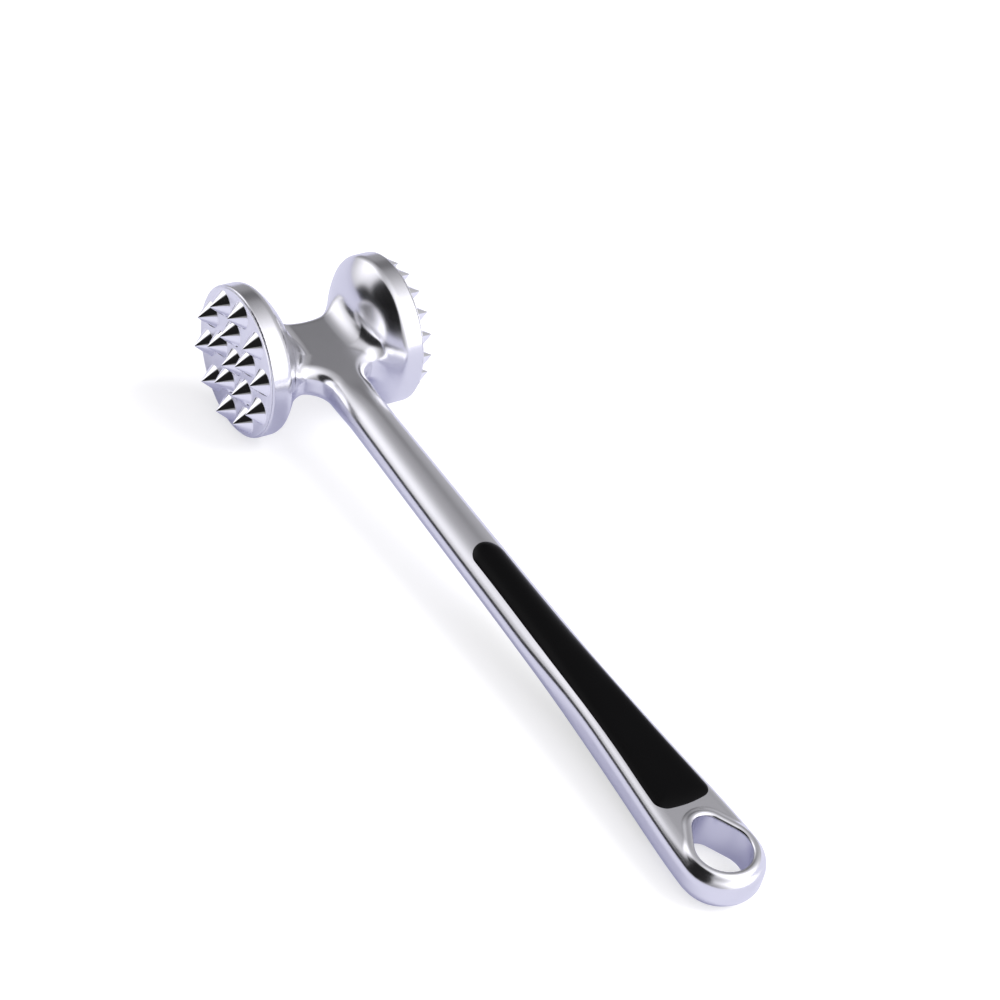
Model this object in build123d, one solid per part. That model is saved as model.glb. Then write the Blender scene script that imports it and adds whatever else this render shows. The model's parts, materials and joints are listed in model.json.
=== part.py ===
from build123d import *
import os
from math import acos, asin, atan2, cos, degrees, hypot, radians, sin

# Meat tenderizer: a die-cast T-shaped hammer with two toothed striking plates and two grip inlays.
# It is modelled with the head axis on X, the handle along -Y and the head's middle at the origin,
# then laid on its two rims and the end of its handle. All sizes are in millimetres.

# Head discs: each has a rim and a domed back
disc_radius = 23.0
face_x = 25.5
rim_width = 6.1
rim_back_round = 0.8
rim_front_round = 0.35
disc_back_x = face_x - rim_width
dome_height = 8.0
dome_top_x = disc_back_x - dome_height

# Waist between the discs: round notches in plan, and a rounded root at each disc's dome
waist_half_thickness = 5.2
waist_far_y = 6.0
far_notch_radius = 21.0
near_notch_radius = 7.2
near_notch_top_y = -16.5
root_round = 5.0
waist_end_x = disc_back_x
waist_end_y = near_notch_top_y - near_notch_radius

# Handle, with (half width, y) and (half thickness, y) along it
neck_half_width = 6.3
handle_half_widths = [(6.35, -60), (7.0, -108), (7.75, -150), (9.45, -182), (10.6, -198)]
handle_half_heights = [(4.8, -60), (4.7, -100), (5.0, -150)]
ring_half_thickness = 5.4
ring_radius = 11.3
ring_y = -215.1
handle_end_y = ring_y - ring_radius
edge_round = 3.4

# Hang eye: the hull of a small and a large circle, with a bead round each mouth
eye_radius = 7.5
eye_y = -215.1
eye_tip_radius = 4.1
eye_tip_y = -208.2
bead_width = 1.5
bead_height = 0.45
bead_round = 0.4

# Striking plates, with (count, ring radius, first angle from +Y) for each ring of teeth
plate_radius = 22.4
plate_gap = 0.1
plate_thickness = 2.4
boss_radius = 5.0
boss_length = 5.0
tooth_height = 4.6
tooth_tip_radius = 0.12
coarse_base_radius = 4.2
coarse_rings = [(1, 0.0, 0.0), (5, 9.2, 0.0), (10, 17.5, 18.0)]
fine_base_radius = 2.9
fine_rings = [(1, 0.0, 0.0), (6, 6.5, 13.0), (12, 13.0, 13.0), (18, 19.4, 13.0)]

# Tie stud through the waist, with one end in each plate's boss
stud_radius = 2.5
stud_gap = 0.1
bore_gap = 0.3
stud_cover = 1.0

# Grip inlays, which follow the handle's sides
inlay_start_y = -97.5
inlay_end_y = -199.6
inlay_corner_y = -198.4
inlay_border = 2.1
inlay_start_radius = 4.85
inlay_corner_radius = 3.0
inlay_gap = 0.1
pocket_floor_z = 3.2
inlay_proud = 0.5
inlay_edge_round = 0.9
peg_radius = 2.0
peg_length = 2.2
upper_peg_ys = (-116.0, -176.0)
lower_peg_ys = (-132.0, -160.0)


def mirrored_face(half):
    """The face inside a half outline on x >= 0 and its mirror image."""
    curve = Curve() + half
    return make_face(curve + mirror(curve, Plane.YZ))


def arc_about(center, radius, start, end):
    """Arc of a circle between two angles, in degrees."""
    points = []
    for angle in (start, (start + end) / 2, end):
        points.append((center[0] + radius * cos(radians(angle)), center[1] + radius * sin(radians(angle))))
    return ThreePointArc(*points)


def plan_prism():
    """Waist, handle and ring, seen from above, as a tall prism."""
    far_center_y = waist_far_y + far_notch_radius
    far_end = degrees(asin(waist_end_x / far_notch_radius)) - 90
    far_arc = arc_about((0, far_center_y), far_notch_radius, -90, far_end)
    notch_x = neck_half_width + near_notch_radius
    near_start = degrees(acos((waist_end_x - notch_x) / near_notch_radius))
    near_arc = arc_about((notch_x, waist_end_y), near_notch_radius, near_start, 180)
    side = Spline(near_arc @ 1, *handle_half_widths, (ring_radius, ring_y), tangents=[(0, -1), (0, -1)])
    end_arc = arc_about((0, ring_y), ring_radius, 0, -90)
    outline = mirrored_face([far_arc, Line(far_arc @ 1, near_arc @ 0), near_arc, side, end_arc])
    return extrude(Pos(0, 0, -disc_radius) * outline, 2 * disc_radius)


def waist_slab():
    """Slab with the waist's thickness, from disc to disc."""
    length = disc_radius - waist_end_y
    return Pos(0, disc_radius - length / 2, 0) * Box(2 * disc_radius, length, 2 * waist_half_thickness)


def handle_slab(grow=0.0):
    """Slab with the handle's thickness, or more, from the waist to past the ring."""
    start = (waist_end_y, waist_half_thickness + grow)
    points = [(y, z + grow) for z, y in handle_half_heights]
    end = (ring_y, ring_half_thickness + grow)
    past_end = (handle_end_y - edge_round, ring_half_thickness + grow)
    top = Curve() + [Spline(start, *points, end, tangents=[(-1, 0), (-1, 0)]), Line(end, past_end)]
    sides = [Line((y, -z), (y, z)) for y, z in (start, past_end)]
    outline = make_face(top + mirror(top, Plane.XZ) + sides)
    beside = Plane((-disc_radius, 0, 0), x_dir=(0, 1, 0), z_dir=(1, 0, 0))
    return extrude(beside * outline, 2 * disc_radius)


def rounded_core():
    """Waist, handle and ring in one, with every long edge rounded."""
    core = plan_prism() & (waist_slab() + handle_slab())
    edges = core.edges().filter_by(GeomType.LINE, reverse=True)
    return fillet(edges.filter_by(lambda e: abs(e.center().Z) > edge_round), edge_round)


def head_disc():
    """Disc on the +X side, with rounded rim edges and a dome that falls away with the cube of the radius."""
    third = disc_radius / 3
    rim = (disc_back_x, disc_radius)
    dome = Bezier((dome_top_x, 0), (dome_top_x, third), (dome_top_x, 2 * third), rim)
    rest = Polyline(rim, (face_x, disc_radius), (face_x, 0), (dome_top_x, 0))
    disc = revolve(make_face(Curve() + [dome, rest]), Axis.X)
    disc = fillet(disc.edges().filter_by(GeomType.CIRCLE).sort_by(Axis.X)[0], rim_back_round)
    return fillet(disc.edges().filter_by(GeomType.CIRCLE).sort_by(Axis.X)[-1], rim_front_round)


def head_and_handle():
    """Both discs on the core, with the corner at each disc's back rounded."""
    core = rounded_core()
    discs = head_disc() + mirror(head_disc(), Plane.YZ)
    body = core + discs
    return fillet(new_edges(core, discs, combined=body), root_round)


def along_x(side, start, end, radius):
    """Cylinder on the head axis between two distances from its middle."""
    return Pos(side * (start + end) / 2, 0, 0) * Rot(0, 90, 0) * Cylinder(radius, end - start)


def eye_outline(grow=0.0):
    """Egg-shaped outline of the hang eye, or a larger one round it."""
    touch = degrees(asin((eye_tip_radius - eye_radius) / (eye_tip_y - eye_y)))
    tip_arc = arc_about((0, eye_tip_y), eye_tip_radius + grow, 90, -touch)
    round_arc = arc_about((0, eye_y), eye_radius + grow, -touch, -90)
    return mirrored_face([tip_arc, Line(tip_arc @ 1, round_arc @ 0), round_arc])


def upright(face, bottom, top):
    """Prism of a face between two heights."""
    return extrude(Pos(0, 0, bottom) * face, top - bottom)


def eye_bead():
    """Bead that stands round both mouths of the hang eye."""
    height = ring_half_thickness + bead_height
    bead = upright(eye_outline(bead_width), -height, height)
    return fillet(bead.faces().filter_by(Axis.Z).edges(), bead_round)


def inlay_outline(grow=0.0):
    """Outline of a grip inlay, round at the neck end and bowed at the wide end, or a larger one round it."""
    center_y = inlay_start_y - inlay_start_radius
    start_arc = arc_about((0, center_y), inlay_start_radius + grow, 90, 0)
    sides = [(width - inlay_border + grow, y) for width, y in handle_half_widths if y < center_y]
    corner = (sides[-1][0], inlay_corner_y - grow)
    side = Spline(start_arc @ 1, *sides[1:-1], corner)
    end_arc = ThreePointArc(corner, (0, inlay_end_y - grow), (-corner[0], corner[1]))
    curve = Curve() + [start_arc, side]
    outline = make_face(curve + mirror(curve, Plane.YZ) + end_arc)
    return fillet(outline.vertices().sort_by(Axis.Y)[:2], inlay_corner_radius + grow)


def peg(y, gap):
    """Peg under a grip inlay, or its socket when grown by a gap."""
    return Pos(0, y, pocket_floor_z - (peg_length + gap) / 2) * Cylinder(peg_radius + gap, peg_length + gap)


def grip_pocket(peg_ys):
    """Space cut for the upper grip inlay and its pegs."""
    pocket = upright(inlay_outline(inlay_gap), pocket_floor_z, disc_radius)
    return pocket + [peg(y, inlay_gap) for y in peg_ys]


def grip_inlay(peg_ys):
    """Upper grip inlay: a pad with soft edges and pegs below."""
    pad = upright(inlay_outline(), pocket_floor_z, disc_radius) & handle_slab(inlay_proud)
    pad = fillet(pad.faces().sort_by(Axis.Z)[-1].edges(), inlay_edge_round)
    return pad + [peg(y, 0) for y in peg_ys]


def turned_over(shape):
    """The same shape on the handle's underside."""
    return Rot(0, 180, 0) * shape


def body_casting():
    """Discs, waist, handle and ring, cut for the plates, the stud, the inlays and the eye."""
    body = head_and_handle() + eye_bead()
    body -= upright(eye_outline(0), -disc_radius, disc_radius)
    seat_x = face_x - plate_thickness
    for side in (-1, 1):
        body -= along_x(side, seat_x, face_x + plate_thickness, plate_radius + plate_gap)
        body -= along_x(side, seat_x - boss_length, seat_x, boss_radius + plate_gap)
    body -= Rot(0, 90, 0) * Cylinder(stud_radius + bore_gap, 2 * seat_x)
    body -= grip_pocket(upper_peg_ys)
    body -= turned_over(grip_pocket(lower_peg_ys))
    return body


def tooth(base_radius):
    """Pointed tooth standing on the face, pointing along +X."""
    cone = Cone(base_radius, tooth_tip_radius, tooth_height)
    return Pos(face_x + tooth_height / 2, 0, 0) * Rot(0, 90, 0) * cone


def tooth_plate(side, base_radius, rings):
    """Striking plate with rings of teeth and a boss for the stud."""
    seat_x = face_x - plate_thickness
    plate = along_x(1, seat_x, face_x, plate_radius) + along_x(1, seat_x - boss_length, seat_x, boss_radius)
    plate -= along_x(1, 0, face_x - stud_cover, stud_radius + stud_gap)
    for count, from_middle, first_angle in rings:
        for step in range(count):
            angle = radians(first_angle + 360 * step / count)
            place = Pos(0, from_middle * cos(angle), from_middle * sin(angle))
            plate += place * tooth(base_radius)
    return plate if side > 0 else mirror(plate, Plane.YZ)


def head_tie_stud():
    """Stud that draws the two plates together through the waist."""
    return along_x(1, stud_cover - face_x, face_x - stud_cover, stud_radius)


def lay_location():
    """Place of the tool when it lies on both rims and the lower bead at the end of its handle."""
    foot_y = eye_radius + bead_width - bead_round - eye_y
    foot_z = ring_half_thickness + bead_height - bead_round
    tilt = asin((disc_radius - bead_round) / hypot(foot_y, foot_z)) - atan2(foot_z, foot_y)
    nose_y = handle_end_y + edge_round
    nose_z = ring_half_thickness - edge_round
    near_y = nose_y * cos(tilt) - nose_z * sin(tilt) - edge_round
    return Pos(0, -(disc_radius + near_y) / 2, disc_radius) * Rot(degrees(tilt), 0, 0)


pieces = {
    "body_casting": body_casting(),
    "coarse_tooth_plate": tooth_plate(-1, coarse_base_radius, coarse_rings),
    "fine_tooth_plate": tooth_plate(1, fine_base_radius, fine_rings),
    "head_tie_stud": head_tie_stud(),
    "upper_grip_inlay": grip_inlay(upper_peg_ys),
    "lower_grip_inlay": turned_over(grip_inlay(lower_peg_ys)),
}
os.makedirs("parts", exist_ok=True)
laid = lay_location()
for name, piece in pieces.items():
    export_step(laid * piece, f"parts/{name}.step")
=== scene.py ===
import json
from math import atan2, pi, radians, sqrt

import bpy
import numpy as np
from bpy.props import (FloatProperty, FloatVectorProperty, IntProperty, IntVectorProperty,
                       PointerProperty)
from mathutils import Matrix, Vector


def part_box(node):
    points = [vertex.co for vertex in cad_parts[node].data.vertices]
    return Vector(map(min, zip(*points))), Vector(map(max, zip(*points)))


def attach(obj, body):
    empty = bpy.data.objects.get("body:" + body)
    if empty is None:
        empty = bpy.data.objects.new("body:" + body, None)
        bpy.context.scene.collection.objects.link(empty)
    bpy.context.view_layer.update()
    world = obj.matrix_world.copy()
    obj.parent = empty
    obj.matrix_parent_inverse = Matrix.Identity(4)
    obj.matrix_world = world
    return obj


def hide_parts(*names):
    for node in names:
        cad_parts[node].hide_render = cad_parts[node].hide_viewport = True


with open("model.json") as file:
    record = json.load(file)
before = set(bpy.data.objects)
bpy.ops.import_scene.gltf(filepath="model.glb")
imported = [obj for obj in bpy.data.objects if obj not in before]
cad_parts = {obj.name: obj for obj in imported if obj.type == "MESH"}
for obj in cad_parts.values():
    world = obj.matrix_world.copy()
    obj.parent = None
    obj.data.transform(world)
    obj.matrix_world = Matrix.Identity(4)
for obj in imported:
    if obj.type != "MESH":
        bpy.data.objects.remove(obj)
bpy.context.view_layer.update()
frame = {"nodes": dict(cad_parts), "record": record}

bl_info = {
    "name": "Meat tenderizer",
    "version": (1, 0, 0),
    "blender": (4, 5, 0),
    "location": "3D View > Sidebar > Tenderizer",
    "description": "Builds a cast meat hammer with two toothed plates and two grip inlays",
    "category": "Add Mesh",
}

# The tool's own frame: the head axis on X, the handle along -Y, the head's middle at the origin.
stud_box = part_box("head_tie_stud")
eye_mount = frame["record"]["mounts"][0]
lie_angle = atan2(-eye_mount["axis"][1], eye_mount["axis"][2])
head_middle = (stud_box[0] + stud_box[1]) / 2
tool_place = Matrix.Translation(head_middle) @ Matrix.Rotation(lie_angle, 4, "X")
eye_center = tool_place.inverted() @ Vector(eye_mount["pos_m"])
MM = 0.001
white = (1.0, 1.0, 1.0, 1.0)
black = (0.0, 0.0, 0.0, 1.0)


def length(name, description, millimetres):
    """A length property that is written in millimetres and kept in metres."""
    return FloatProperty(name=name, description=description, default=millimetres * MM, min=0.0,
                         precision=5, subtype="DISTANCE", unit="LENGTH")


def length_row(name, description, millimetres):
    """A row of lengths that are written in millimetres and kept in metres."""
    return FloatVectorProperty(name=name, description=description, size=len(millimetres),
                               default=[value * MM for value in millimetres], precision=5, unit="LENGTH")


def count_row(name, description, numbers):
    """A row of whole numbers."""
    return IntVectorProperty(name=name, description=description, size=len(numbers), default=numbers)


def angle_row(name, description, degrees):
    """A row of angles that are written in degrees and kept in radians."""
    return FloatVectorProperty(name=name, description=description, size=len(degrees),
                               default=[radians(angle) for angle in degrees], subtype="EULER")


def colour(name, description, value):
    """A linear colour property."""
    return FloatVectorProperty(name=name, description=description, default=value, size=3,
                               min=0.0, max=1.0, subtype="COLOR")


class CastingSizes(bpy.types.PropertyGroup):
    """Sizes of the cast body: discs, waist, handle, ring and hang eye."""
    disc_radius: length("Disc radius", "Radius of the two discs of the head", 23.0)
    face_offset: length("Face offset", "Distance of a disc's face from the head's middle", 25.2)
    rim_width: length("Rim width", "Width of a disc's rim", 5.8)
    rim_back_round: length("Rim back rounding", "Rounding of a rim's back edge", 0.8)
    rim_front_round: length("Rim front rounding", "Rounding of a rim's front edge", 0.5)
    waist_half_thickness: length("Waist half thickness", "Half the thickness of the waist", 5.2)
    waist_far_side: length("Waist far side", "Distance of the waist's far side from the head axis", 6.0)
    far_notch_radius: length("Far notch radius", "Radius of the hollow between the discs", 21.0)
    near_notch_radius: length("Near notch radius", "Radius of the hollow beside the neck", 7.2)
    near_notch_middle: length("Near notch middle", "Distance of that hollow from the head axis", 23.7)
    neck_half_width: length("Neck half width", "Half the width of the handle at the head", 6.3)
    dome_height: length("Dome height", "Height of each disc's domed back", 8.0)
    root_round: length("Root rounding", "Rounding where the waist meets a disc", 6.5)
    far_edge_round: length("Far edge rounding", "Rounding of the waist's edges away from the handle", 2.6)
    near_edge_round: length("Near edge rounding", "Rounding of the waist's edges beside the neck", 4.0)
    oval_run: length("Oval run", "Length over which the flat neck turns into the oval handle", 14.0)
    ring_run: length("Ring run", "Length over which the oval handle turns into the round-edged ring", 70.0)
    ring_radius: length("Ring radius", "Outer radius of the ring at the handle's end", 11.6)
    ring_edge_round: length("Ring edge rounding", "Rounding of the ring's edges", 4.0)
    ring_half_thickness: length("Ring half thickness", "Half the thickness of the ring", 5.45)
    handle_stations: length_row(
        "Handle stations", "Distances from the head axis where widths are given",
        (23.7, 60, 108, 150, 182, 198, 215.1))
    handle_half_widths: length_row(
        "Handle half widths", "Half the handle's width at each station",
        (6.5, 7.0, 7.7, 8.7, 10.75, 12.1, 13.0))
    thickness_stations: length_row(
        "Thickness stations", "Distances from the head axis where thickness is given",
        (23.7, 60, 100, 150, 215.1))
    handle_half_heights: length_row(
        "Handle half thickness", "Half the handle's thickness at each station",
        (5.5, 5.4, 5.3, 5.7, 6.15))
    eye_radius: length("Eye radius", "Radius of the hang eye's wide end", 7.5)
    eye_tip_radius: length("Eye tip radius", "Radius of the hang eye's narrow end", 4.1)
    eye_stretch: length("Eye stretch", "Distance between the eye's two ends", 6.9)
    bead_width: length("Bead width", "Width of the bead round each mouth of the eye", 2.1)
    bead_top: length("Bead top", "Height of the bead over the handle's middle plane", 5.9)
    bead_foot: length("Bead foot", "Rounding at the foot of the bead", 0.9)


class PlateSizes(bpy.types.PropertyGroup):
    """Sizes of the two striking plates and their teeth."""
    radius: length("Plate radius", "Radius of a striking plate", 22.45)
    face_offset: length("Face offset", "Distance of a plate's face from the head's middle", 25.5)
    thickness: length("Facing thickness", "Thickness of the facing that shows", 0.3)
    edge_round: length("Edge rounding", "Rounding of a plate's edge", 0.12)
    tooth_height: length("Tooth height", "Height of every tooth", 4.6)
    tip_radius: length("Tip radius", "Radius of a tooth's blunt tip", 0.12)
    tooth_sides: IntProperty(name="Tooth sides", description="Sides of a tooth's round", default=48, min=12)
    coarse_base: length("Coarse base", "Base radius of a coarse tooth", 4.2)
    fine_base: length("Fine base", "Base radius of a fine tooth", 2.9)
    coarse_counts: count_row("Coarse counts", "Teeth in each ring of the coarse plate", (5, 10))
    coarse_radii: length_row("Coarse ring radii", "Radius of each ring of the coarse plate", (9.2, 17.5))
    coarse_turns: angle_row("Coarse ring turns", "Turn of each ring of the coarse plate", (0, 18))
    fine_counts: count_row("Fine counts", "Teeth in each ring of the fine plate", (6, 12, 18))
    fine_radii: length_row("Fine ring radii", "Radius of each ring of the fine plate", (6.5, 13.0, 19.4))
    fine_turns: angle_row("Fine ring turns", "Turn of each ring of the fine plate", (13, 13, 13))


class InlaySizes(bpy.types.PropertyGroup):
    """Sizes of the two grip inlays."""
    start: length("Start", "Distance of the neck end from the head axis", 97.5)
    start_radius: length("Start radius", "Radius of the round neck end", 5.1)
    end: length("End", "Distance of the wide end from the head axis", 199.6)
    end_bow: length("End bow", "Radius of the bow of the wide end", 30.7)
    corner_radius: length("Corner radius", "Radius of the wide end's corners", 3.0)
    stations: length_row(
        "Stations", "Distances from the head axis where widths are given",
        (102.6, 150, 182, 200))
    half_widths: length_row(
        "Half widths", "Half the inlay's width at each station",
        (5.1, 6.0, 7.45, 8.5))
    floor: length("Floor", "Height of the inlay's underside over the handle's middle plane", 3.2)
    rise: length("Rise", "How far the inlay's middle stands over the metal", 0.8)
    edge_round: length("Edge rounding", "Rounding of the inlay's edge", 0.4)


class Finishes(bpy.types.PropertyGroup):
    """Colours of the metal, the inlays and the stage."""
    satin_chrome: colour("Satin chrome", "Colour of the cast body", (0.82, 0.82, 0.85))
    polished_chrome: colour("Polished chrome", "Colour of the striking plates", (0.95, 0.95, 0.97))
    stud_steel: colour("Stud steel", "Colour of the tie stud", (0.50, 0.50, 0.51))
    black_rubber: colour("Black rubber", "Colour of the grip inlays", (0.0008, 0.0008, 0.0009))
    floor: colour("Floor", "Colour of the floor", (0.94, 0.94, 0.96))


class Wire:
    """A value in a node tree. Arithmetic on it adds Math nodes."""

    def __init__(self, nodes, socket):
        self.nodes = nodes
        self.socket = socket

    def math(self, operation, first, second=0.0):
        inputs = {0: first, 1: second}
        return self.nodes.add("ShaderNodeMath", {"operation": operation}, inputs).wire()

    def __add__(self, other):
        return self.math("ADD", self, other)

    def __radd__(self, other):
        return self.math("ADD", other, self)

    def __sub__(self, other):
        return self.math("SUBTRACT", self, other)

    def __rsub__(self, other):
        return self.math("SUBTRACT", other, self)

    def __mul__(self, other):
        return self.math("MULTIPLY", self, other)

    def __rmul__(self, other):
        return self.math("MULTIPLY", other, self)

    def step(self, low, high):
        """0 below one value and 1 above another, with a smooth change between them."""
        settings = {"interpolation_type": "SMOOTHSTEP"}
        return self.nodes.add("ShaderNodeMapRange", settings, {0: self, 1: low, 2: high}).wire()

    def power(self, exponent):
        return self.math("POWER", self, exponent)

    def size(self):
        """The value without its sign."""
        return self.math("ABSOLUTE", self)

    def over(self, other):
        """The larger of two values."""
        return self.math("MAXIMUM", self, other)


class MadeNode:
    """A node that was added, with its outputs as wires."""

    def __init__(self, nodes, node):
        self.nodes = nodes
        self.node = node

    def wire(self, output=0):
        return Wire(self.nodes, self.node.outputs[output])


class NodeBench:
    """Adds nodes to one tree."""

    def __init__(self, tree):
        self.tree = tree
        tree.nodes.clear()

    def add(self, kind, settings=None, inputs=None):
        node = self.tree.nodes.new(kind)
        for key, value in (settings or {}).items():
            setattr(node, key, value)
        for key, value in (inputs or {}).items():
            if isinstance(value, Wire):
                self.tree.links.new(value.socket, node.inputs[key])
            else:
                node.inputs[key].default_value = value
        return MadeNode(self, node)

    def noise(self, vector, scale, detail=2.0, roughness=0.5):
        inputs = {"Vector": vector, "Scale": scale, "Detail": detail, "Roughness": roughness}
        return self.add("ShaderNodeTexNoise", {}, inputs).wire("Fac")

    def bump(self, height, strength, distance):
        """A normal that a height map tilts."""
        inputs = {"Strength": strength, "Distance": distance, "Height": height}
        return self.add("ShaderNodeBump", {}, inputs).wire()

    def blend(self, factor, first, second):
        """A colour between two colours."""
        inputs = {0: factor, 6: first, 7: second}
        return self.add("ShaderNodeMix", {"data_type": "RGBA"}, inputs).wire(2)

    def dot(self, vector, direction):
        inputs = {0: vector, 1: direction}
        return self.add("ShaderNodeVectorMath", {"operation": "DOT_PRODUCT"}, inputs).wire("Value")


def opaque(rgb, scale=1.0):
    """A colour with full alpha, made lighter or darker."""
    return (rgb[0] * scale, rgb[1] * scale, rgb[2] * scale, 1.0)


def new_material(name):
    """A material with an empty node tree."""
    material = bpy.data.materials.new(name)
    material.use_nodes = True
    return material, NodeBench(material.node_tree)


def surface(bench, **inputs):
    """Principled surface that ends a material."""
    named = {key.replace("_", " ").title().replace("Ior", "IOR"): value for key, value in inputs.items()}
    shader = bench.add("ShaderNodeBsdfPrincipled", {}, named).wire("BSDF")
    bench.add("ShaderNodeOutputMaterial", {}, {"Surface": shader})


def chrome_material(name, rgb, roughness, haze, grain, face=None):
    """Chrome with faint clouds in its colour, a hazy gloss and a fine skin.

    Where a face is given, what stands out past it along X is polished.
    """
    material, bench = new_material(name)
    point = bench.add("ShaderNodeTexCoord").wire("Object")
    if face:
        polish = 0.08
        tooth_foot = 0.2 * MM
        across = bench.dot(point, (1.0, 0.0, 0.0)).size()
        roughness = roughness - (roughness - polish) * across.step(face, face + tooth_foot)
    clouds = bench.noise(point, scale=55.0, detail=3.0)
    haze_map = bench.noise(point, scale=160.0, detail=4.0, roughness=0.6)
    skin_map = bench.noise(point, scale=5200.0)
    bump = bench.bump(skin_map, strength=grain, distance=0.02 * MM)
    shade = bench.blend(clouds, opaque(rgb, 0.95), opaque(rgb, 1.03))
    gloss = roughness + haze * (haze_map - 0.5)
    surface(bench, base_color=shade, metallic=1.0, roughness=gloss, normal=bump)
    return material


def rubber_material(name, rgb):
    """Black satin rubber with a fine moulded grain."""
    material, bench = new_material(name)
    point = bench.add("ShaderNodeTexCoord").wire("Object")
    clouds = bench.noise(point, scale=90.0, detail=3.0)
    grain = bench.noise(point, scale=3600.0, detail=3.0, roughness=0.6)
    bump = bench.bump(grain, strength=0.12, distance=0.06 * MM)
    shade = bench.blend(clouds, opaque(rgb, 0.8), opaque(rgb, 1.25))
    surface(bench, base_color=shade, roughness=0.24 + 0.06 * clouds, ior=1.2, normal=bump)
    return material


def brushed_material(name, rgb):
    """Turned steel with lines round the stud."""
    material, bench = new_material(name)
    point = bench.add("ShaderNodeTexCoord").wire("Object")
    fine_along_x = (9000.0, 60.0, 60.0)
    lines = bench.add("ShaderNodeMapping", {}, {"Vector": point, "Scale": fine_along_x}).wire()
    streaks = bench.noise(lines, scale=1.0, detail=3.0)
    bump = bench.bump(streaks, strength=0.1, distance=0.03 * MM)
    shade = bench.blend(streaks, opaque(rgb, 0.85), opaque(rgb, 1.1))
    surface(bench, base_color=shade, metallic=1.0, roughness=0.28 + 0.15 * streaks, normal=bump)
    return material


class SmoothRun:
    """Curve with continuous bend through values at stations, level at both ends."""

    def __init__(self, stations, values):
        self.at = np.array(stations)
        self.values = np.array(values)
        gaps = np.diff(self.at)
        rises = np.diff(self.values) / gaps
        system = np.eye(len(self.at))
        right = np.zeros(len(self.at))
        for i in range(1, len(gaps)):
            system[i, i - 1:i + 2] = gaps[i], 2 * (gaps[i - 1] + gaps[i]), gaps[i - 1]
            right[i] = 3 * (gaps[i] * rises[i - 1] + gaps[i - 1] * rises[i])
        self.slopes = np.linalg.solve(system, right)

    def __call__(self, place):
        place = np.clip(place, self.at[0], self.at[-1])
        i = np.clip(np.searchsorted(self.at, place) - 1, 0, len(self.at) - 2)
        gap = self.at[i + 1] - self.at[i]
        t = (place - self.at[i]) / gap
        start = (1 + 2 * t) * self.values[i] + t * gap * self.slopes[i]
        end = (3 - 2 * t) * self.values[i + 1] + (t - 1) * gap * self.slopes[i + 1]
        return start * (1 - t) ** 2 + end * t ** 2


def round_both(first, second, radius):
    """Distance to what two forms share, with their edge rounded."""
    edge = np.hypot(np.maximum(first + radius, 0), np.maximum(second + radius, 0))
    return np.minimum(np.maximum(first, second), -radius) + edge


def round_either(first, second, radius):
    """Distance to two forms joined, with the corner between them filled to a radius."""
    return -round_both(-first, -second, radius)


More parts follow.
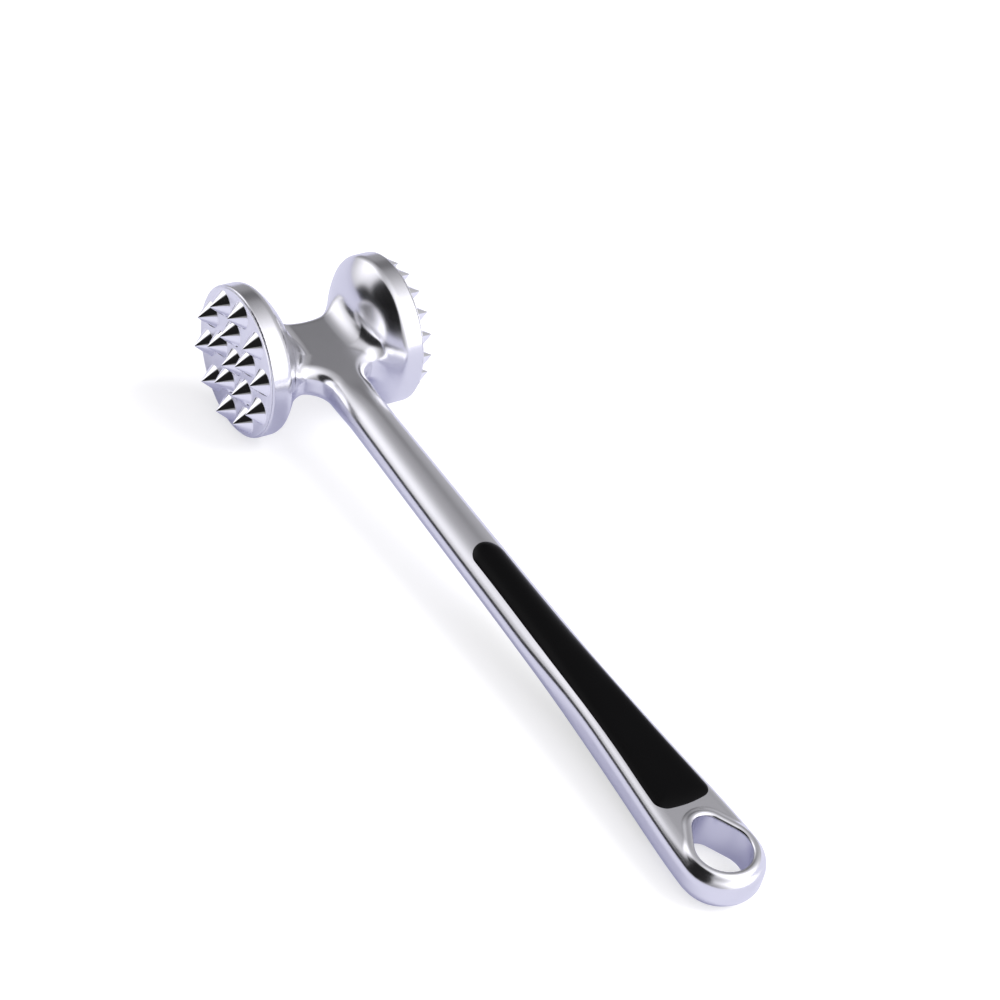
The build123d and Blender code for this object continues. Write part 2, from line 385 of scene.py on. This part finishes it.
class CastingForm:
    """Distance to the cast body's surface, negative inside it."""
    # Power of the curve from the middle of a domed back to its rim
    dome_power = 3
    # Share of the room before the rim that the root's rounding may take
    root_share = 0.6
    # Share of the ring run that is left when the ring's form is complete
    ring_rest = 0.4

    def __init__(self, sizes):
        self.s = sizes
        self.half_width = SmoothRun(sizes.handle_stations, sizes.handle_half_widths)
        self.half_height = SmoothRun(sizes.thickness_stations, sizes.handle_half_heights)
        self.ring_y = -sizes.handle_stations[-1]
        self.waist_end = sizes.face_offset - sizes.rim_width
        notch_top = sizes.near_notch_middle - sizes.near_notch_radius
        self.edge_round = SmoothRun((0.0, notch_top), (sizes.far_edge_round, sizes.near_edge_round))
        neck = sizes.handle_stations[0]
        self.oval_share = SmoothRun((neck, neck + sizes.oval_run), (0.0, 1.0))
        end = sizes.handle_stations[-2]
        ring_full = end - self.ring_rest * sizes.ring_run
        self.ring_share = SmoothRun((end - sizes.ring_run, ring_full), (0.0, 1.0))

    def plan(self, across, y):
        """Distance to the outline of the waist and neck, seen from above."""
        s = self.s
        far = s.far_notch_radius - np.hypot(across, y - s.waist_far_side - s.far_notch_radius)
        notch_x = s.neck_half_width + s.near_notch_radius
        near = s.near_notch_radius - np.hypot(across - notch_x, y + s.near_notch_middle)
        return np.where(y > -s.near_notch_middle, np.maximum(far, near), across - s.neck_half_width)

    def oval(self, across, y, up):
        """Distance to the oval handle and its domed end."""
        outward = np.hypot(across, np.minimum(y - self.ring_y, 0))
        wide = self.half_width(-y)
        high = self.half_height(-y)
        level = np.sqrt((outward / wide) ** 2 + (up / high) ** 2)
        slope = np.sqrt((outward / wide ** 2) ** 2 + (up / high ** 2) ** 2)
        least_slope = 1e-6
        return (level - 1) * level / np.maximum(slope, least_slope)

    def stadium(self, across, y, up):
        """Distance to the handle's last part and its ring, with rounded edges."""
        s = self.s
        outward = np.hypot(across, np.minimum(y - self.ring_y, 0))
        wide = self.half_width(-y) * (s.ring_radius / s.handle_half_widths[-1])
        return round_both(outward - wide, up - s.ring_half_thickness, s.ring_edge_round)

    def bar(self, across, y, up):
        """Distance to the waist and the handle together."""
        s = self.s
        flat = round_both(self.plan(across, y), up - s.waist_half_thickness, self.edge_round(-y))
        flat = np.maximum(flat, across - self.waist_end)
        share = self.oval_share(-y)
        oval = self.oval(across, y, up)
        handle = oval + self.ring_share(-y) * (self.stadium(across, y, up) - oval)
        return flat + share * (handle - flat)

    def egg(self, across, y):
        """Distance to the outline of the hang eye."""
        s = self.s
        lean = (s.eye_radius - s.eye_tip_radius) / s.eye_stretch
        rise = sqrt(1 - lean * lean)
        along = y - eye_center.y
        turn = along * rise - across * lean
        side = across * rise + along * lean - s.eye_radius
        tip = np.hypot(across, along - s.eye_stretch) - s.eye_tip_radius
        wide = np.hypot(across, along) - s.eye_radius
        return np.where(turn < 0, wide, np.where(turn > rise * s.eye_stretch, tip, side))

    def disc(self, across, y, z):
        """Distance to the discs of the head, with their domed backs."""
        s = self.s
        outward = np.hypot(y, z)
        share = np.minimum(outward / s.disc_radius, 1)
        slope = self.dome_power * s.dome_height / s.disc_radius * share ** (self.dome_power - 1)
        back = self.waist_end - s.dome_height * (1 - share ** self.dome_power)
        dome = (back - across) / np.sqrt(1 + slope ** 2)
        width = np.maximum(across - s.face_offset, dome)
        near_face = across > s.face_offset - s.rim_width / 2
        round_to = np.where(near_face, s.rim_front_round, s.rim_back_round)
        return round_both(outward - s.disc_radius, width, round_to)

    def __call__(self, x, y, z):
        s = self.s
        across = np.abs(x)
        up = np.abs(z)
        body = self.bar(across, y, up)
        room = s.disc_radius - s.rim_back_round - np.hypot(y, z)
        root = np.clip(self.root_share * room, 0, s.root_round)
        body = round_either(body, self.disc(across, y, z), root)
        egg = self.egg(across, y)
        bead = round_both(egg - s.bead_width, up - s.bead_top, s.bead_width / 2)
        body = round_either(body, bead, s.bead_foot)
        return round_both(body, -egg, s.bead_width / 2)


class InlayForm:
    """Distance to the upper grip inlay's surface, negative inside it."""
    # Power of the curve from the crown's flat middle to its shoulders
    crown_power = 4

    def __init__(self, sizes, casting):
        self.s = sizes
        self.handle = casting
        self.half_width = SmoothRun(sizes.stations, sizes.half_widths)

    def plan(self, across, y):
        """Distance to the inlay's outline, seen from above."""
        s = self.s
        middle = -s.start - s.start_radius
        start = np.hypot(across, y - middle) - s.start_radius
        along = np.minimum(y + s.end - s.end_bow, 0)
        end = np.hypot(across, along) - s.end_bow
        rest = round_both(across - self.half_width(-y), end, s.corner_radius)
        return np.where(y > middle, start, rest)

    def __call__(self, x, y, z):
        s = self.s
        across = np.abs(x)
        outline = self.plan(across, y)
        inward = np.clip(-outline / self.half_width(-y), 0, 1)
        crown = s.rise * (1 - (1 - inward) ** self.crown_power)
        top = self.handle.bar(across, y, z) - crown
        return np.maximum(round_both(outline, top, s.edge_round), s.floor - z)


def slopes(form, points):
    """Direction in which the distance to a form grows."""
    reach = 0.01 * MM
    found = np.empty_like(points)
    for axis in range(3):
        shift = np.zeros(3)
        shift[axis] = reach
        found[:, axis] = form(*(points + shift).T) - form(*(points - shift).T)
    return found / (2 * reach)


def settle(form, points, steps):
    """Points moved onto a form's surface, in short steps where the slope is weak."""
    least_square = 0.2
    for _ in range(steps):
        slope = slopes(form, points)
        square = np.maximum((slope ** 2).sum(1), least_square)
        points = points - slope * (form(*points.T) / square)[:, None]
    return points


def crossing_faces(field_inside, number, axis):
    """Quads round the grid edges along one axis that cross the surface."""
    low = np.take(field_inside, range(field_inside.shape[axis] - 1), axis)
    high = np.take(field_inside, range(1, field_inside.shape[axis]), axis)
    edges = np.argwhere(low != high)
    second, third = (axis + 1) % 3, (axis + 2) % 3
    corners = []
    for back_second, back_third in ((1, 1), (0, 1), (0, 0), (1, 0)):
        cell = edges.copy()
        cell[:, second] -= back_second
        cell[:, third] -= back_third
        corners.append(number[tuple(cell.T)])
    quads = np.stack(corners, 1)
    outward = low[tuple(edges.T)]
    quads[~outward] = quads[~outward, ::-1]
    return quads


def even_out(form, points, quads, rounds):
    """Points spread evenly over a form's surface."""
    starts = quads.ravel()
    ends = np.roll(quads, -1, 1).ravel()
    near = np.bincount(starts, minlength=len(points)) + np.bincount(ends, minlength=len(points))
    for _ in range(rounds):
        middle = np.empty_like(points)
        for axis in range(3):
            sums = np.bincount(starts, points[ends, axis], len(points))
            middle[:, axis] = (sums + np.bincount(ends, points[starts, axis], len(points))) / near
        points = settle(form, (points + middle) / 2, steps=2)
    return points


def skin(form, lines):
    """Points, quads and normals of a form's surface, with one point in each grid cell that it crosses."""
    field_inside = form(*np.meshgrid(*lines, indexing="ij")) < 0
    count = sum(field_inside[i:i - 1 or None, j:j - 1 or None, k:k - 1 or None].astype(int)
                for i in (0, 1) for j in (0, 1) for k in (0, 1))
    crossed = (count > 0) & (count < 8)
    cells = np.argwhere(crossed)
    number = np.full(crossed.shape, -1)
    number[crossed] = np.arange(len(cells))
    middles = [(line[1:] + line[:-1]) / 2 for line in lines]
    points = np.stack([middles[axis][cells[:, axis]] for axis in range(3)], 1)
    quads = np.concatenate([crossing_faces(field_inside, number, axis) for axis in range(3)])
    points = even_out(form, settle(form, points, steps=6), quads, rounds=3)
    normals = slopes(form, points)
    return points, quads, normals / np.linalg.norm(normals, axis=1)[:, None]


def grid_line(*spans):
    """Places along one axis, from spans of (start, end, step) in millimetres."""
    return np.concatenate([np.arange(start, end - step / 2, step) for start, end, step in spans]) * MM


def both_sides(*spans):
    """Places along one axis on both sides of the middle."""
    half = grid_line(*spans) + spans[0][2] * MM / 2
    return np.concatenate([-half[::-1], half])


def skin_object(name, form, lines, place, material):
    """Object whose mesh is a form's surface, put in place."""
    points, quads, normals = skin(form, lines)
    turn = np.array(place.to_3x3())
    points = points @ turn.T + np.array(place.translation)
    mesh = bpy.data.meshes.new(name)
    mesh.from_pydata(points.tolist(), [], quads.tolist())
    mesh.polygons.foreach_set("use_smooth", [True] * len(quads))
    mesh.normals_split_custom_set_from_vertices((normals @ turn.T).tolist())
    mesh.materials.append(material)
    piece = bpy.data.objects.new(name, mesh)
    bpy.context.scene.collection.objects.link(piece)
    return piece


def hand_over(piece, node):
    """The piece rides on the body and stands for a CAD node."""
    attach(piece, "root")
    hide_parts(node)


def turned_mesh(name, profile, sides):
    """Closed mesh turned about Z from a profile of (radius, height) that starts and ends on the axis."""
    sharp_from = radians(25)
    rings = profile[1:-1]
    angles = np.arange(sides) * 2 * pi / sides
    points = [(0.0, 0.0, profile[0][1])]
    for radius, height in rings:
        points += [(radius * np.cos(a), radius * np.sin(a), height) for a in angles]
    points.append((0.0, 0.0, profile[-1][1]))
    faces = []
    for k in range(sides):
        after = (k + 1) % sides
        faces.append((0, 1 + after, 1 + k))
        for ring in range(len(rings) - 1):
            low = 1 + ring * sides
            high = low + sides
            faces.append((low + k, low + after, high + after, high + k))
        last = 1 + (len(rings) - 1) * sides
        faces.append((last + k, last + after, len(points) - 1))
    mesh = bpy.data.meshes.new(name)
    mesh.from_pydata(points, [], faces)
    mesh.polygons.foreach_set("use_smooth", [True] * len(faces))
    mesh.set_sharp_from_angle(angle=sharp_from)
    return mesh


def tooth_tree(name, ring_count):
    """Node tree that sets rings of pointed teeth on a plate, with a tooth in the middle."""
    tree = bpy.data.node_groups.new(name, "GeometryNodeTree")
    bench = NodeBench(tree)
    face = tree.interface
    face.new_socket("Plate", in_out="INPUT", socket_type="NodeSocketGeometry")
    wanted = [("Tooth Sides", "NodeSocketInt"), ("Base Radius", "NodeSocketFloat"),
              ("Tip Radius", "NodeSocketFloat"), ("Tooth Height", "NodeSocketFloat"),
              ("Face Height", "NodeSocketFloat"), ("Sink", "NodeSocketFloat")]
    for ring in range(1, ring_count + 1):
        wanted += [(f"Ring {ring} Count", "NodeSocketInt"), (f"Ring {ring} Radius", "NodeSocketFloat"),
                   (f"Ring {ring} Turn", "NodeSocketFloat")]
    wanted += [("Place", "NodeSocketVector"), ("Turn", "NodeSocketVector"),
               ("Material", "NodeSocketMaterial")]
    for label, kind in wanted:
        face.new_socket(label, in_out="INPUT", socket_type=kind)
    face.new_socket("Geometry", in_out="OUTPUT", socket_type="NodeSocketGeometry")
    source = bench.add("NodeGroupInput")
    cone = bench.add("GeometryNodeMeshCone", {"fill_type": "NGON"}, {
        "Vertices": source.wire("Tooth Sides"), "Radius Top": source.wire("Tip Radius"),
        "Radius Bottom": source.wire("Base Radius"), "Depth": source.wire("Tooth Height")})
    side_faces = bench.add("GeometryNodeSetShadeSmooth", {}, {
        "Geometry": cone.wire("Mesh"), "Selection": cone.wire("Side"), "Shade Smooth": True})
    foot = source.wire("Face Height") - source.wire("Sink")
    lift = bench.add("ShaderNodeCombineXYZ", {}, {"Z": foot}).wire()
    tooth = bench.add("GeometryNodeTransform", {}, {
        "Geometry": side_faces.wire(), "Translation": lift}).wire()
    joined = bench.add("GeometryNodeJoinGeometry")
    tree.links.new(source.wire("Plate").socket, joined.node.inputs[0])
    tree.links.new(tooth.socket, joined.node.inputs[0])
    for ring in range(1, ring_count + 1):
        circle = bench.add("GeometryNodeMeshCircle", {}, {
            "Vertices": source.wire(f"Ring {ring} Count"), "Radius": source.wire(f"Ring {ring} Radius")})
        turn = bench.add("ShaderNodeCombineXYZ", {}, {"Z": source.wire(f"Ring {ring} Turn")}).wire()
        turned = bench.add("GeometryNodeTransform", {}, {"Geometry": circle.wire(), "Rotation": turn})
        teeth = bench.add("GeometryNodeInstanceOnPoints", {}, {"Points": turned.wire(), "Instance": tooth})
        tree.links.new(teeth.wire().socket, joined.node.inputs[0])
    placed = bench.add("GeometryNodeTransform", {}, {
        "Geometry": joined.wire(), "Translation": source.wire("Place"), "Rotation": source.wire("Turn")})
    real = bench.add("GeometryNodeRealizeInstances", {}, {"Geometry": placed.wire()})
    finished = bench.add("GeometryNodeSetMaterial", {}, {
        "Geometry": real.wire(), "Material": source.wire("Material")})
    bench.add("NodeGroupOutput", {}, {"Geometry": finished.wire()})
    return tree


def grown_piece(name, mesh, tree, values):
    """Plain object made from a mesh by a node tree with the given inputs."""
    rough = bpy.data.objects.new(name + ".rough", mesh)
    bpy.context.scene.collection.objects.link(rough)
    grow = rough.modifiers.new("Teeth", "NODES")
    grow.node_group = tree
    sockets = {item.name: item.identifier for item in tree.interface.items_tree if item.in_out == "INPUT"}
    for label, value in values.items():
        grow[sockets[label]] = value
    depsgraph = bpy.context.evaluated_depsgraph_get()
    final = bpy.data.meshes.new_from_object(rough.evaluated_get(depsgraph), depsgraph=depsgraph)
    final.name = name
    bpy.data.objects.remove(rough)
    piece = bpy.data.objects.new(name, final)
    bpy.context.scene.collection.objects.link(piece)
    return piece


class TENDERIZER_OT_casting(bpy.types.Operator):
    """Make the cast body with its discs, waist, handle and hang eye"""
    bl_idname = "tenderizer.casting"
    bl_label = "Cast body"

    def execute(self, context):
        form = CastingForm(context.scene.tenderizer_casting)
        colours = context.scene.tenderizer_finishes
        material = chrome_material("satin chrome", colours.satin_chrome, roughness=0.18, haze=0.05,
                                   grain=0.25)
        lines = [
            both_sides((0, 12.4, 0.45), (12.4, 27, 0.58)),
            grid_line((-229, -200, 0.42), (-200, -30, 1.2), (-30, 25, 0.56)),
            both_sides((0, 7.2, 0.45), (7.2, 25, 0.58)),
        ]
        piece = skin_object("cast_body", form, lines, tool_place, material)
        hand_over(piece, "body_casting")
        return {"FINISHED"}


class TENDERIZER_OT_plates(bpy.types.Operator):
    """Make the coarse and the fine striking plate with their teeth"""
    bl_idname = "tenderizer.plates"
    bl_label = "Striking plates"

    def execute(self, context):
        sizes = context.scene.tenderizer_plates
        colours = context.scene.tenderizer_finishes
        material = chrome_material("polished chrome", colours.polished_chrome, roughness=0.34, haze=0.03,
                                   grain=0.1, face=sizes.face_offset)
        sink = 0.02 * MM
        facing_sides = 256
        # How far along a rounded edge its middle point lies
        bend = 0.7
        for side, kind in ((-1, "coarse"), (1, "fine")):
            counts = getattr(sizes, kind + "_counts")
            radii = getattr(sizes, kind + "_radii")
            turns = getattr(sizes, kind + "_turns")
            outward = Matrix(((0, 0, side), (1, 0, 0), (0, side, 0)))
            place = tool_place @ outward.to_4x4()
            values = {
                "Tooth Sides": sizes.tooth_sides, "Base Radius": getattr(sizes, kind + "_base"),
                "Tip Radius": sizes.tip_radius, "Tooth Height": sizes.tooth_height,
                "Face Height": sizes.face_offset, "Sink": sink, "Material": material,
                "Place": place.translation, "Turn": place.to_euler(),
            }
            for ring in range(len(counts)):
                values[f"Ring {ring + 1} Count"] = counts[ring]
                values[f"Ring {ring + 1} Radius"] = radii[ring]
                values[f"Ring {ring + 1} Turn"] = side * turns[ring]
            high = sizes.face_offset
            low = high - sizes.thickness
            cut = sizes.edge_round
            inner = sizes.radius - cut
            profile = [(0, low), (inner, low), (sizes.radius, low + cut), (sizes.radius, high - cut),
                       (inner + cut * bend, high - cut * (1 - bend)), (inner, high), (0, high)]
            disc = turned_mesh(f"{kind} facing", profile, facing_sides)
            tree = tooth_tree(f"{kind} teeth", len(counts))
            piece = grown_piece(f"{kind}_striking_plate", disc, tree, values)
            hand_over(piece, f"{kind}_tooth_plate")
        return {"FINISHED"}


class TENDERIZER_OT_inlays(bpy.types.Operator):
    """Make the upper and the lower grip inlay"""
    bl_idname = "tenderizer.inlays"
    bl_label = "Grip inlays"

    def execute(self, context):
        casting = CastingForm(context.scene.tenderizer_casting)
        form = InlayForm(context.scene.tenderizer_inlays, casting)
        material = rubber_material("black rubber", context.scene.tenderizer_finishes.black_rubber)
        lines = [
            both_sides((0, 9.6, 0.32)),
            grid_line((-201.5, -190, 0.4), (-190, -105, 1.0), (-105, -96, 0.4)),
            grid_line((2.5, 7.5, 0.3)),
        ]
        for name, turn in (("upper", 0.0), ("lower", pi)):
            place = tool_place @ Matrix.Rotation(turn, 4, "Y")
            piece = skin_object(f"{name}_inlay", form, lines, place, material)
            hand_over(piece, f"{name}_grip_inlay")
        return {"FINISHED"}


class TENDERIZER_OT_stud(bpy.types.Operator):
    """Give the hidden tie stud its steel"""
    bl_idname = "tenderizer.stud"
    bl_label = "Tie stud"

    def execute(self, context):
        stud = frame["nodes"]["head_tie_stud"]
        steel = brushed_material("stud steel", context.scene.tenderizer_finishes.stud_steel)
        stud.data.materials.clear()
        stud.data.materials.append(steel)
        return {"FINISHED"}


def studio_world():
    """Studio that the metal mirrors: soft lights, pale walls and dark parts. The camera sees plain white."""
    world = bpy.data.worlds.new("studio")
    world.use_nodes = True
    bench = NodeBench(world.node_tree)
    ray = bench.add("ShaderNodeTexCoord").wire("Generated")

    def towards(direction):
        """How close the ray is to a direction, 1 along it."""
        return bench.dot(ray, Vector(direction).normalized())

    # Soft lights
    left = towards((-0.45, 0.74, 0.50)).over(0.0).power(12.0)
    right = towards((0.50, -0.84, 0.25)).over(0.0).power(4.0)
    above = towards((0.05, -0.50, 0.86)).over(0.0).power(3.0)
    # Paler parts low on the right and on the back wall, and a greyer one high at the back
    low = bench.dot(ray, (0.93, 0.20, -0.30)).step(0.3, 0.9)
    wall = towards((-0.35, 0.93, 0.05)).step(0.85, 0.98)
    back = towards((0.43, 0.71, 0.56)).step(0.965, 1.0)
    # Dark parts to the left of the tool, the last of them a strip at the wall's foot
    front = towards((-0.86, -0.08, 0.50)).step(0.80, 0.90)
    side = towards((-0.85, 0.28, 0.45)).step(0.955, 0.985)
    up = bench.dot(ray, (0.0, 0.0, 1.0))
    strip = (1 - up.step(0.20, 0.50)) * bench.dot(ray, (-0.87, 0.49, 0.0)).step(0.94, 0.965)
    lit = 0.28 + 1.25 * left + 1.4 * right + 1.1 * above + 0.2 * wall + 0.2 * low - 0.13 * back
    darkest = 0.97
    shade = lit * (1 - strip.over(front).over(side) * darkest)
    cool = {0: shade, 1: shade * 0.99, 2: shade * 1.03}
    studio = bench.add("ShaderNodeCombineColor", {}, cool).wire()
    seen = bench.add("ShaderNodeLightPath").wire("Is Camera Ray")
    shown = bench.blend(seen, studio, white)
    light = bench.add("ShaderNodeBackground", {}, {"Color": shown, "Strength": 1.0}).wire()
    bench.add("ShaderNodeOutputWorld", {}, {"Surface": light})
    bpy.context.scene.world = world


def floor_material(rgb):
    """Pale floor that keeps the tool's shadow and shows white where nothing shades it."""
    material, bench = new_material("pale floor")
    camera_glow = (0.62, 0.62, 0.62, 1.0)
    mirror_glow = (0.13, 0.13, 0.26, 1.0)
    path = bench.add("ShaderNodeLightPath")
    mirrored = path.wire("Is Glossy Ray")
    seen = path.wire("Is Camera Ray").over(mirrored).over(path.wire("Is Transmission Ray"))
    point = bench.add("ShaderNodeTexCoord").wire("Object")
    clouds = bench.noise(point, scale=2.0)
    shade = bench.blend(clouds, opaque(rgb, 0.49), opaque(rgb, 0.51))
    matt = bench.add("ShaderNodeBsdfDiffuse", {}, {"Color": shade}).wire()
    tint = bench.blend(mirrored, camera_glow, mirror_glow)
    shown = bench.blend(seen, black, tint)
    glow = bench.add("ShaderNodeEmission", {}, {"Color": shown, "Strength": 1.0}).wire()
    both = bench.add("ShaderNodeAddShader", {}, {0: matt, 1: glow}).wire()
    bench.add("ShaderNodeOutputMaterial", {}, {"Surface": both})
    return material


class TENDERIZER_OT_stage(bpy.types.Operator):
    """Set out the floor, the light and the camera"""
    bl_idname = "tenderizer.stage"
    bl_label = "Stage"

    def execute(self, context):
        scene = context.scene
        scene.view_settings.view_transform = "Standard"
        studio_world()
        half = 6.0
        drop = 0.2 * MM
        corners = [(-half, -half, -drop), (half, -half, -drop), (half, half, -drop), (-half, half, -drop)]
        mesh = bpy.data.meshes.new("floor")
        mesh.from_pydata(corners, [], [(0, 1, 2, 3)])
        mesh.materials.append(floor_material(scene.tenderizer_finishes.floor))
        floor = bpy.data.objects.new("floor", mesh)
        scene.collection.objects.link(floor)
        lamp = bpy.data.lights.new("key light", "AREA")
        lamp.shape = "DISK"
        lamp.size = 1.2
        lamp.energy = 26.0
        key = bpy.data.objects.new("key light", lamp)
        key.location = (0.95, -0.65, 1.3)
        key.rotation_euler = (-key.location).to_track_quat("-Z", "Y").to_euler()
        key.visible_glossy = False
        scene.collection.objects.link(key)
        lens = bpy.data.cameras.new("camera")
        lens.lens = 90.0
        lens.sensor_width = 36.0
        camera = bpy.data.objects.new("camera", lens)
        standpoint = (-0.3234, -0.4214, 0.4504)
        view = Vector((0.4822, 0.6261, -0.6128)).normalized()
        upward = Vector((0.2430, 0.5765, 0.7802))
        right = view.cross(upward).normalized()
        axes = Matrix((right, right.cross(view), -view)).transposed()
        camera.matrix_world = Matrix.Translation(standpoint) @ axes.to_4x4()
        scene.collection.objects.link(camera)
        scene.camera = camera
        return {"FINISHED"}


class TENDERIZER_PT_panel(bpy.types.Panel):
    """Lists the tool's pieces"""
    bl_label = "Meat tenderizer"
    bl_idname = "TENDERIZER_PT_panel"
    bl_space_type = "VIEW_3D"
    bl_region_type = "UI"
    bl_category = "Tenderizer"

    def draw(self, context):
        for maker in makers:
            self.layout.operator(maker.bl_idname)
        for group, kind in groups.items():
            box = self.layout.box()
            box.label(text=kind.__doc__)
            for key in kind.__annotations__:
                box.prop(getattr(context.scene, group), key)


groups = {
    "tenderizer_casting": CastingSizes,
    "tenderizer_plates": PlateSizes,
    "tenderizer_inlays": InlaySizes,
    "tenderizer_finishes": Finishes,
}
makers = [
    TENDERIZER_OT_casting,
    TENDERIZER_OT_plates,
    TENDERIZER_OT_inlays,
    TENDERIZER_OT_stud,
    TENDERIZER_OT_stage,
]


def register():
    for kind in [*groups.values(), *makers, TENDERIZER_PT_panel]:
        bpy.utils.register_class(kind)
    for group, kind in groups.items():
        setattr(bpy.types.Scene, group, PointerProperty(type=kind))


def unregister():
    for group in groups:
        delattr(bpy.types.Scene, group)
    for kind in [TENDERIZER_PT_panel, *reversed(makers), *groups.values()]:
        bpy.utils.unregister_class(kind)


def main():
    register()
    bpy.ops.tenderizer.casting()
    bpy.ops.tenderizer.plates()
    bpy.ops.tenderizer.inlays()
    bpy.ops.tenderizer.stud()
    bpy.ops.tenderizer.stage()


if __name__ == "__main__":
    main()
